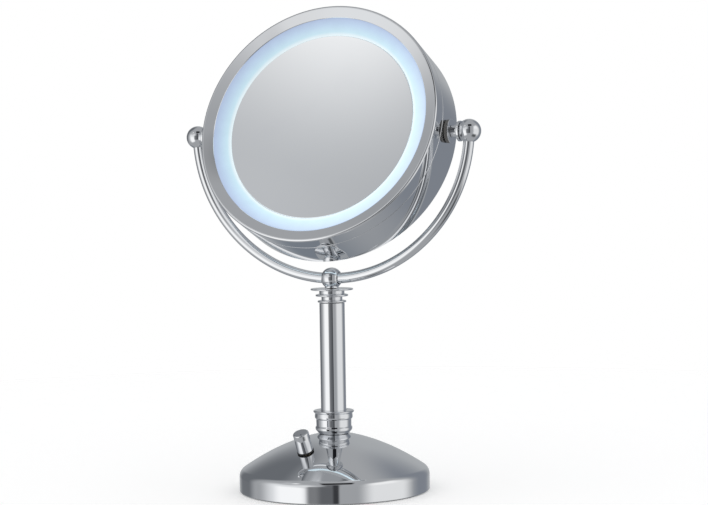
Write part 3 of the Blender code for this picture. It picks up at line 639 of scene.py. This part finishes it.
def coil(length):
    """Centre line of a cone-shaped contact spring of two turns."""
    turns, per_turn = 2, 32
    steps = turns * per_turn
    points = []
    for step in range(steps + 1):
        angle, radius = math.tau * step / per_turn, 4.6 - 2 * step / steps
        height = 0.4 + (length - 0.8) * step / steps
        points.append((radius * math.cos(angle), radius * math.sin(angle), height))
    return points


# Knob and switch ---------------------------------------------------------------------------------


def knob():
    """Cap with its pointer notch, the ring and nut under it, and the switch with its shaft."""
    low, outer, inner = 0.35, KNOB_R + 0.4, 5.9
    washer = [(outer, low + 1, 0.4), (outer, low), (inner, low), (inner, low + 1)]
    show("knob_washer", lathe(washer, MEDIUM), KNOB)
    nut = carved(prism(5.5, low, 2.15), [lathe(rod(ROD_HOLE_R, -1, 4), SMALL, 0)])
    show("switch_nut", nut, KNOB)
    bush = [(0, -7), (2.9, -7), (2.9, 2.8), (4, 2.8), (4, -2.6)]
    body = bush + [(8, -2.6, 0.6), (8, -10.9, 0.6), (0, -10.9)]
    show("switch_body", lathe(body, SMALL), KNOB)
    show("switch_shaft", lathe(rod(2.6, -6.6, 15), SMALL), KNOB)
    bottom = 1.65
    cap = [
        (0, KNOB_HEIGHT),
        (KNOB_R, KNOB_HEIGHT, 1.2),
        (KNOB_R, bottom, 0.3),
        (5.8, bottom),
        (5.8, 3.4),
        (2.9, 3.4),
        (2.9, 15.4),
        (0, 15.4),
    ]
    notch = slab((-0.45, -KNOB_R - 1, KNOB_HEIGHT - 0.6), (0.45, -2.6, KNOB_HEIGHT + 1), 0)
    notch = moved(notch, Matrix.Rotation(math.radians(35), 4, "Z"))
    show("knob_cap", carved(lathe(cap, MEDIUM), [notch]), KNOB)


# Column ------------------------------------------------------------------------------------------


def column():
    """Collars, the tube between them, and the threaded rod that clamps them with its washer and nut."""
    top, seat = LOWER_COLLAR_TOP, 58
    lower = [
        (TUBE_R + GAP, top),
        (17.3, top, 0.5),
        (18, top - 0.7, 0.5),
        (17.6, top - 1.7, 0.6),
        (16.4, top - 2.5, 0.5),
        (16.7, top - 5.6, 2),
        (16.4, top - 6.9, 0.6),
        (15.5, top - 7.7, 0.5),
        (15.4, top - 13.6, 1),
        (16.3, top - 15.2, 1),
        (16, top - 17, 1),
        (13.2, dome(13.2) + GAP, 0.2),
        (ROD_HOLE_R, dome(ROD_HOLE_R) + GAP),
        (ROD_HOLE_R, seat),
        (TUBE_R + GAP, seat),
    ]
    show("lower_collar", lathe(lower, MEDIUM))
    show("column_tube", lathe(ring(TUBE_R - 1, TUBE_R, seat + GAP, 163.7), MEDIUM))
    show("upper_collar", lathe(upper_outline(), MEDIUM))
    show("tie_rod", lathe(thread_outline(2.8, 4, 36.5, 179.5), SMALL, 0.05))
    washer_r = 12
    washer_top = dome(washer_r) - SHELL_DROP - 2 * GAP
    washer_low = washer_top - 1.5
    show("tie_rod_washer", lathe(ring(ROD_HOLE_R, washer_r, washer_low, washer_top), SMALL))
    nut_r, nut_top = 7.5, washer_low - GAP
    bore = lathe(rod(ROD_HOLE_R, nut_top - 9, nut_top + 1), SMALL, 0)
    show("tie_rod_nut", carved(prism(nut_r, nut_top - 5.5, nut_top), [bore]))


def upper_outline():
    """Three thin round-edged discs on necks, above a spigot that fills the top of the tube."""
    top, spigot_r, half = UPPER_COLLAR_TOP, TUBE_R - 1.3, 0.7
    outline = [(ROD_HOLE_R, top)]
    discs = ((18.7, 0.7, 11.1), (14.3, 6.1, 9.2), (12.6, 11.4, spigot_r))
    for disc_r, depth, neck_r in discs:
        middle = top - depth
        outline += [(disc_r, middle + half, half), (disc_r, middle - half, half)]
        outline += [(neck_r, middle - 1.1, 0.3), (neck_r, middle - 3.9, 0.3)]
    return outline[:-1] + [(spigot_r, 158), (ROD_HOLE_R, 158)]


def thread_outline(bore, radius, low, high):
    """A threaded tube, with its thread drawn as closely spaced V grooves."""
    pitch, depth = 1.0, 0.45
    outline = [(bore, low), (bore, high), (radius - depth, high)]
    count = int((high - low) / pitch)
    for groove in range(count):
        height = high - pitch * (groove + 0.25)
        outline += [(radius, height, 0), (radius - depth, height - pitch / 2, 0)]
    return outline + [(radius - depth, low)]


# Yoke --------------------------------------------------------------------------------------------


def yoke_point(angle, outward=0):
    """Point of the yoke's centre line on the +X side, or that far outside it."""
    radius = YOKE_R + outward
    return Vector((radius * math.sin(angle), 0, YOKE_Z - radius * math.cos(angle)))


def yoke_arm():
    """Half of the yoke: a bent tube, open at both ends."""
    start, end = math.asin(3 / YOKE_R), ARM_END
    steps, sides = 120, 56
    bm = bmesh.new()
    walls = []
    for radius in (ARM_R, ARM_R - 1):
        for step in range(steps + 1):
            angle = start + (end - start) * step / steps
            walls.append([])
            for side in range(sides):
                around = math.tau * side / sides
                spot = yoke_point(angle, radius * math.cos(around))
                spot.y = radius * math.sin(around)
                walls[-1].append(bm.verts.new(spot))
    inner = walls[: steps : -1]
    skin(bm, walls[: steps + 1] + inner, closed=True)
    return closed_mesh(bm, "yoke_arm")


def pivot_ball():
    """Ball at the end of an arm, flat on its inner side, bored for the pin and socketed for the arm."""
    round_part = bow((0, 0), PIVOT_BALL_R, math.asin(BALL_FLAT / PIVOT_BALL_R), -math.pi / 2, 72)
    outline = [(0, -1), (PIN_HOLE_R, -1), (PIN_HOLE_R, BALL_FLAT), (round_part[0][0], BALL_FLAT, 0.3)]
    ball = lathe(outline + round_part[1:-1] + [(0, -PIVOT_BALL_R)], MEDIUM)
    mouth = BALL_ANGLE - 8 / YOKE_R
    along = Matrix.Rotation(math.pi / 2 - mouth, 4, "Y")
    socket = moved(lathe(rod(SOCKET_R, -8, 6), SMALL, 0), at(*yoke_point(mouth)) @ along)
    return carved(moved(ball, at(HALF_SPAN, 0, PIVOT_Z) @ FACING_IN), [socket])


def centre_ball():
    """Ball where the arms meet: flats and a through bore along X, on a neck bored for the rod."""
    flat = 7.2
    lean = math.asin(flat / CENTRE_BALL_R)
    outline = bow((0, 0), CENTRE_BALL_R, lean, -lean, 72)
    outline += [(SOCKET_R, -flat), (SOCKET_R, flat)]
    ball = moved(lathe(outline, MEDIUM), Matrix.Rotation(math.pi / 2, 4, "Y"))
    centre_z = PIVOT_Z - YOKE_DROP
    low, high, neck_r = UPPER_COLLAR_TOP + GAP - centre_z, -6.6, 6.1
    neck = lathe([(ROD_HOLE_R, low), (neck_r, low), (neck_r, high), (ROD_HOLE_R, high)], MEDIUM)
    joined = carved(ball, [neck], "UNION")
    return moved(carved(joined, [lathe(rod(ROD_HOLE_R, -12, 0), SMALL, 0)]), at(0, 0, centre_z))


def yoke():
    """Centre ball, and on each side an arm, its ball, and the bush and pin that carry the head."""
    show("centre_ball", centre_ball())
    neck_r, collar_r, collar_start, collar_end = 5.4, 8.8, BALL_FLAT + GAP, 9.6
    bush = [
        (PIN_HOLE_R, BUSH_END),
        (neck_r, BUSH_END, 0.2),
        (neck_r, collar_end, 0.3),
        (collar_r, collar_end, 0.7),
        (collar_r, collar_start, 0.3),
        (PIN_HOLE_R, collar_start),
    ]
    bore_r, pin_r, head_r, outer_end = 1.6, PIN_HOLE_R - GAP, 4.4, 3
    inner_end = HALF_SPAN - BLOCK_X[0] + 1.8
    under_head = inner_end - 1.5
    pin = [
        (bore_r, inner_end),
        (head_r, inner_end, 0.4),
        (head_r, under_head),
        (pin_r, under_head),
        (pin_r, outer_end),
        (bore_r, outer_end),
    ]
    for side, turn in SIDES:
        spot = STAND @ turn @ at(HALF_SPAN, 0, PIVOT_Z) @ FACING_IN
        show(f"yoke_arm_{side}", yoke_arm(), STAND @ turn)
        show(f"pivot_ball_{side}", pivot_ball(), STAND @ turn)
        show(f"pivot_bush_{side}", lathe(bush, MEDIUM), spot)
        show(f"pivot_pin_{side}", lathe(pin, SMALL), spot)


def wiring():
    """Leads from the switch up the rod and the right arm, from the battery to the switch, and in the head."""
    wire_r = 1
    terminal = STAND.inverted() @ KNOB @ Vector((0, 0, -12.2 * MM)) / MM
    aside = Vector((3.5, 0, 0))
    path = [terminal + aside, (-1, -22, 27), (0, -7, 29)]
    path += [(0, 0, 34), (0, 0, 60), (0, 0, 179), (1.5, 0, 183.5)]
    first, steps = math.asin(6 / YOKE_R), 12
    path += [yoke_point(first + (ARM_END - first) * step / steps) for step in range(steps + 1)]
    path += [(HALF_SPAN - 0.8, 0, PIVOT_Z - 1.2), (HALF_SPAN - 2.2, 0, PIVOT_Z)]
    path.append((BLOCK_X[0] + 0.6, 0, PIVOT_Z))
    show("lead_wire", cable(path, wire_r))
    path = [terminal - aside, (-8, -37, 24), (-12, -33.5, 19), (-12, -31.4, 14)]
    show("battery_lead", cable(path, wire_r))
    end = BLOCK_X[0] - 2.6
    show("head_lead", cable([(end, 0, 0), (end - 0.6, 0, 1.6), (95.4, 0, 3), (92, 0, 2.2)], wire_r), HEAD)


# Head --------------------------------------------------------------------------------------------


def drum_outline():
    """Side band with two inner ledges for the diffusers."""
    inner, ledge, edge = HEAD_R - BAND_WALL, 105.2, SEAM - GAP
    outline = [(HEAD_R, edge, 0.45), (HEAD_R, -HEAD_REAR, 0.5), (inner, -HEAD_REAR, 0.2)]
    for side in (-1, 1):
        near, far = sorted(((LEDGE_TOP - BAND_WALL) * side, LEDGE_TOP * side))
        outline += [(inner, near), (ledge, near), (ledge, far), (inner, far)]
    return outline + [(inner, edge)]


def front_band():
    """Outer band of the front bezel, from its seam on the drum, round its edge, to its face."""
    edge = 1.8
    rounding = bow((HEAD_R - edge, HEAD_FRONT - edge), edge, 0, math.radians(107), 18)
    return [(SKIRT_R, SEAM), (HEAD_R, SEAM, 0.45), *rounding]


def bezel_outline(outside, half):
    """Rim of one face, inward from its outside: a face that slopes to the lip, and a skirt in the drum."""
    skirt_in, lip = 107.6, half - GLOW_DEPTH
    return outside + [
        (GLOW_R, lip, 0.3),
        (GLOW_R - 0.3, lip - 0.5, 0.1),
        (GLOW_R, lip - 1.2),
        (skirt_in, lip - 0.2),
        (skirt_in, SKIRT_FOOT),
        (SKIRT_R, SKIRT_FOOT),
    ]


def diffuser_outline(half):
    """Moulded frosted ring: skirt on the drum's ledge, flange under the lip, cone down to the mirror."""
    wall, outer, inner = 1.6, 106.9, 105.4
    flange, glass = half - GLOW_DEPTH - wall, half - MIRROR_DEPTH
    return [
        (outer, flange),
        (outer, SKIRT_FOOT),
        (inner, SKIRT_FOOT),
        (inner, flange - wall),
        (GLOW_R - 1, flange - wall, 1),
        (MIRROR_R + 1.2, glass - wall),
        (MIRROR_R, glass - wall),
        (MIRROR_R, glass + 0.2),
        (GLOW_R - 1.2, flange, 1),
    ]


def glass_outline(half, sag):
    """Mirror glass facing +Z with an arrised edge, dished by sag at its middle inside a flat rim."""
    front, rim_r, bowl_r = half - MIRROR_DEPTH, MIRROR_R - 0.5, CORE_R - CORE_WALL - 1
    steps = 48 if sag else 1
    face = [(bowl_r * step / steps, front - sag * (1 - (step / steps) ** 2)) for step in range(steps + 1)]
    back = [(r, z - GLASS) for r, z in reversed(face)]
    return face + [(rim_r, front, 0.4), (rim_r, front - GLASS, 0.4)] + back


def faces():
    """Bezel, diffuser and mirror of each face. The rear ones are turned over, with the bezel in the drum."""
    rear_edge = [(SKIRT_R, HEAD_REAR - GAP)]
    for side, turn, half, sag, outside in (
        ("front", Matrix(), HEAD_FRONT, 0, front_band()),
        ("rear", HALF_TURN_X, HEAD_REAR, MAGNIFIER_SAG, rear_edge),
    ):
        show(f"{side}_bezel", lathe(bezel_outline(outside, half), LARGE), HEAD @ turn)
        show(f"{side}_diffuser", lathe(diffuser_outline(half), LARGE), HEAD @ turn)
        show(f"{side}_mirror", lathe(glass_outline(half, sag), LARGE), HEAD @ turn)


def drum():
    """Side band with a hole through both sides for the sleeves, and the spool that carries the mirrors."""
    reach = HEAD_R + 9
    hole = lathe(rod(SLEEVE_R + GAP, -reach, reach), SMALL, 0)
    hole = moved(hole, Matrix.Rotation(math.pi / 2, 4, "Y"))
    show("drum_shell", carved(lathe(drum_outline(), LARGE), [hole]), HEAD)
    front, rear = (half - MIRROR_DEPTH - GLASS - GAP for half in (HEAD_FRONT, HEAD_REAR))
    web, inner = 1, CORE_R - CORE_WALL
    core = [(0, web), (inner, web, 1), (inner, front), (CORE_R, front)]
    core += [(CORE_R, -rear), (inner, -rear), (inner, -web, 1), (0, -web)]
    show("mirror_core", lathe(core, LARGE), HEAD)


def pivot_seats():
    """Flanged sleeve through the drum's side, the washer under its flange and the block inside."""
    washer_low = HEAD_R + GAP
    washer_high = washer_low + 2.8
    flange_low, flange_high = washer_high + GAP, HALF_SPAN - BUSH_END - GAP
    flange_r, washer_r = 10.4, 10
    flange = [
        (PIN_HOLE_R, flange_high),
        (flange_r, flange_high, 0.35),
        (flange_r, flange_low, 0.2),
        (SLEEVE_R, flange_low),
        (SLEEVE_R, BLOCK_X[0]),
        (PIN_HOLE_R, BLOCK_X[0]),
    ]
    washer = ring(SLEEVE_R + GAP, washer_r, washer_low, washer_high)
    half = 7.4
    upright = Matrix.Rotation(math.pi / 2, 4, "Y")
    for side, turn in SIDES:
        show(f"pivot_flange_{side}", lathe(flange, MEDIUM), HEAD @ turn @ upright)
        show(f"pivot_washer_{side}", lathe(washer, MEDIUM), HEAD @ turn @ upright)
        bore = moved(lathe(rod(SLEEVE_R + GAP, BLOCK_X[0] - 1, BLOCK_X[1] + 1), SMALL, 0), upright)
        body = slab((BLOCK_X[0], -half, -half), (BLOCK_X[1], half, half), 0.8)
        show(f"bearing_block_{side}", carved(body, [bore]), HEAD @ turn)


def light_ring():
    """Ring board round the core with a row of lamps on each face."""
    inner, outer, half, count = 88.4, 96.4, 0.8, 12
    board = lathe(ring(inner, outer, -half, half), LARGE, 0.1)
    lamps = []
    middle = (inner + outer) / 2
    half_deep, half_wide, tall, sunk = 1.4, 2.4, 1.2, 0.2
    for number in range(count):
        turn = Matrix.Rotation(math.tau * (2 * number + 1.5) / (2 * count), 4, "Z")
        for low, high in ((half - sunk, half + tall), (-half - tall, sunk - half)):
            lamp = slab((middle - half_deep, -half_wide, low), (middle + half_deep, half_wide, high), 0.25)
            lamps.append(moved(lamp, turn))
    show("light_ring", carved(board, lamps, "UNION"), HEAD)


# Studio ------------------------------------------------------------------------------------------


def softbox(nodes, direction, azimuth, elevation, half_width, half_height, softness):
    """Share of a far rectangular panel seen in each direction, from 0 to 1. Angles are in degrees."""
    turn = Matrix.Rotation(math.radians(azimuth), 3, "Z") @ Matrix.Rotation(math.radians(-elevation), 3, "X")
    across, away, up = turn.col
    depth = nodes.vector("DOT_PRODUCT", direction, -away).outputs["Value"]
    share = nodes.math("GREATER_THAN", depth, 0.02)
    for axis, half in ((across, half_width), (up, half_height)):
        offset = nodes.vector("DOT_PRODUCT", direction, axis).outputs["Value"]
        slant = nodes.math("ARCTAN2", nodes.math("ABSOLUTE", offset), depth)
        low, high = math.radians(half - softness), math.radians(half + softness)
        share = nodes.math("MULTIPLY", share, nodes.between(slant, low, high, 1.0, 0.0))
    return share


PANELS = (  # azimuth, elevation, half width, half height and edge softness in degrees, and colour
    (200, 5, 22, 40, 10, (0.43, 0.445, 0.46)),  # the pale wall behind
    (-113, 23, 22, 40, 11, (0.155, 0.165, 0.18)),  # dark ends of the room, behind on the left
    (156, 5, 20, 50, 12, (0.23, 0.25, 0.285)),  # and on the right
    (-37, -4, 28, 31, 16, (0.88, 0.89, 0.9)),  # left softbox
    (-31, -18, 19, 22, 7, (1.1, 1.1, 1.1)),  # and its hot lower part
    (93, -2, 31, 32, 12, (0.84, 0.845, 0.85)),  # right softbox
    (90, 27, 18, 12, 9, (1.0, 1.0, 1.0)),  # and its hot upper part
    (-14, 22, 10, 13, 13, (0.82, 0.825, 0.835)),  # the left softbox's upper right corner
    (-42, 38, 8.3, 12, 2.6, (0.52, 0.53, 0.545)),  # pale ceiling over the left softbox
    (-34.5, 45.5, 3.2, 3.9, 3.1, (1.0, 1.0, 1.0)),  # small top card that lights the head of the mirror
    (78, -43, 19, 12, 9, (0.1, 0.105, 0.11)),  # dark table edge on the right
    (-155, -38, 34, 15, 10, (0.2, 0.225, 0.26)),  # and behind
    (9, -2, 18, 20, 4, (0.22, 0.225, 0.235)),  # the gap between the softboxes
    (16, -1, 11, 21, 5, (0.13, 0.135, 0.145)),  # and the camera's stand in it
    (19.5, 31, 8, 12, 5, (0.14, 0.145, 0.155)),  # and the stand's head
    (25.5, 10, 3.5, 30, 2, (0.045, 0.047, 0.052)),  # and its black post
    (28, 56, 15.5, 10, 2, (0.012, 0.012, 0.015)),  # black flag over the camera
)


def studio_light():
    """Plain white surroundings, with large soft panels and one dark gap for polished metal to show."""
    world = bpy.data.worlds.new("studio")
    bpy.context.scene.world = world
    world.use_nodes = True
    world.cycles.sampling_method = "NONE"
    nodes = Nodes(world.node_tree)
    background = world.node_tree.nodes["Background"]
    direction = nodes.add("TexCoord").outputs["Generated"]
    height = nodes.add("SeparateXYZ", {0: direction}).outputs["Z"]
    surround = nodes.mix(nodes.between(height, -0.2, 1.0), tint(0.385, 0.395, 0.41), tint(0.4, 0.41, 0.425))
    for *place, colour in PANELS:
        surround = nodes.mix(softbox(nodes, direction, *place), surround, tint(*colour))
    shiny = nodes.add("LightPath").outputs["Is Glossy Ray"]
    nodes.feed(background.inputs["Color"], nodes.mix(shiny, tint(1, 1, 1), surround))


def floor():
    """Pale floor under the object, which fades into the white surroundings and is clear from below."""
    mesh = bpy.data.meshes.new("floor")
    bm = bmesh.new()
    radius, fade_from, fade_to = 3, 0.35, 1.4  # metres from the middle
    bmesh.ops.create_circle(bm, cap_ends=True, segments=96, radius=radius)
    bm.to_mesh(mesh)
    bm.free()
    made, nodes, shader = finish("floor", Roughness=0.6)
    place = nodes.add("TexCoord").outputs["Object"]
    from_middle = nodes.vector("LENGTH", place).outputs["Value"]
    nodes.feed(shader.inputs["Base Color"], tint(0.9, 0.9, 0.9))
    nodes.feed(shader.inputs["Emission Color"], tint(1, 1, 1))
    shader.inputs["Emission Strength"].default_value = 0.17
    shader.inputs["Specular IOR Level"].default_value = 0.2
    output = made.node_tree.nodes["Material Output"]
    clear = nodes.add("BsdfTransparent").outputs[0]
    below = nodes.add("NewGeometry").outputs["Backfacing"]
    share = nodes.math("MAXIMUM", nodes.between(from_middle, fade_from, fade_to), below)
    faded = nodes.add("MixShader", {0: share, 1: shader.outputs[0], 2: clear})
    nodes.feed(output.inputs["Surface"], faded.outputs[0])
    mesh.materials.append(made)
    disc = bpy.data.objects.new("floor", mesh)
    bpy.context.scene.collection.objects.link(disc)
    disc.visible_glossy = False


def camera():
    """At eye level with the yoke, a little to the right of the front, leaning by a hair."""
    azimuth, distance, height = math.radians(24.33), 1.6704, 0.2752
    aside, down, lean = math.radians(0.6845), math.radians(2.295), math.radians(-0.87)
    data = bpy.data.cameras.new("camera")
    data.lens = 97.07
    data.sensor_width = 36
    eye = bpy.data.objects.new("camera", data)
    bpy.context.scene.collection.objects.link(eye)
    stand_at = Matrix.Translation((distance * math.sin(azimuth), -distance * math.cos(azimuth), height))
    look = Matrix.Rotation(azimuth - aside, 4, "Z") @ Matrix.Rotation(math.pi / 2 - down, 4, "X")
    eye.matrix_world = stand_at @ look @ Matrix.Rotation(lean, 4, "Z")
    bpy.context.scene.camera = eye


def build():
    """Makes every piece, then the studio around them."""
    for make in (base, cover, cover_screws, door, battery_bay, knob, column, yoke, wiring):
        make()
    for make in (drum, faces, pivot_seats, light_ring):
        make()
    bpy.context.scene.view_settings.view_transform = "Standard"
    for make in (studio_light, floor, camera):
        make()


build()
